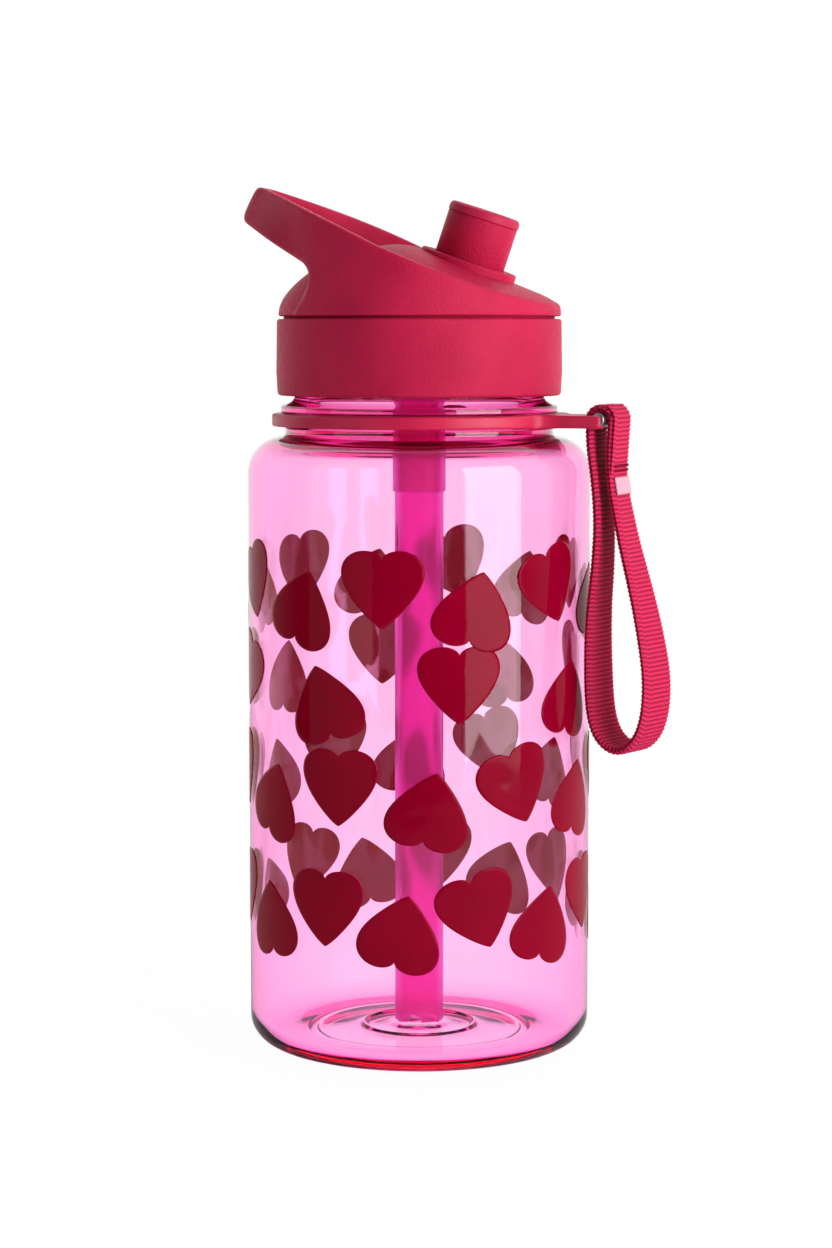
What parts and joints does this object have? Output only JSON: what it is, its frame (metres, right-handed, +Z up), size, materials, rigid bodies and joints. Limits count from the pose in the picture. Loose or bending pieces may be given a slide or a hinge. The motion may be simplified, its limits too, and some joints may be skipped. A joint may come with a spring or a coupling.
{
  "type": "kids water bottle",
  "caption": "Translucent sports bottle with printed hearts, screw lid with carry loop, push-pull spout, straw and woven wrist strap.",
  "frame": {"origin": "on the bottle's axis, at the plane that it stands on", "axes": "+Z up the bottle's axis; +X the way the spout leans; the carry loop's tip is toward -X"},
  "size_m": [0.096, 0.0752, 0.1887],
  "materials": {
    "clear_pink": "clear, glossy",
    "heart_ink": "glossy screen print",
    "lid_plastic": "fine moulded texture",
    "inner_plastic": "satin",
    "straw_plastic": "translucent satin",
    "ring_plastic": "satin, flexible",
    "spout_tip": "soft matte",
    "silicone": "translucent matte",
    "seal_rubber": "matte",
    "metal": "satin",
    "webbing": "ribbed woven webbing",
    "thread": "sewing thread",
    "label": "satin ribbon"
  },
  "bodies": {
    "bottle": {"bottle_body": "clear_pink", "heart_print": "heart_ink"},
    "seal": {"neck_gasket": "silicone"},
    "lid": {"screw_collar": "lid_plastic", "lid_dome": "lid_plastic", "inner_cap": "inner_plastic", "spout_flange": "lid_plastic", "spout_seal": "seal_rubber", "spout_post": "inner_plastic", "straw_socket": "straw_plastic", "socket_seal": "seal_rubber", "straw": "straw_plastic", "vent_valve": "silicone"},
    "mouthpiece": {"spout": "lid_plastic", "spout_tip": "spout_tip"},
    "ring": {"strap_ring": "ring_plastic", "strap_bar": "metal"},
    "strap": {"wrist_strap": "webbing", "strap_stitching": "thread", "strap_tab": "label"}
  },
  "joints": [
    {"name": "lid_lift", "type": "slide", "parent": "bottle", "child": "seal", "axis": [0, 0, 1], "range_m": [0, 0.0075]},
    {"name": "lid_turn", "type": "hinge", "parent": "seal", "child": "lid", "pos_m": [0, 0, 0], "axis": [0, 0, 1], "range_deg": [0, 450.01]},
    {"name": "spout_pull", "type": "slide", "parent": "lid", "child": "mouthpiece", "axis": [0.3173, 0, 0.9483], "range_m": [0, 0.0036]},
    {"name": "ring_swivel", "type": "hinge", "parent": "bottle", "child": "ring", "pos_m": [0, 0, 0], "axis": [0, 0, 1], "continuous": true},
    {"name": "strap_swing", "type": "hinge", "parent": "ring", "child": "strap", "pos_m": [0.04264, -0.00752, 0.138], "axis": [-0.1736, -0.9848, 0], "range_deg": [0, 100]}
  ],
  "couplings": [
    {"joint": "lid_turn", "follows": "lid_lift", "rad_per_m": 1047.2}
  ]
}
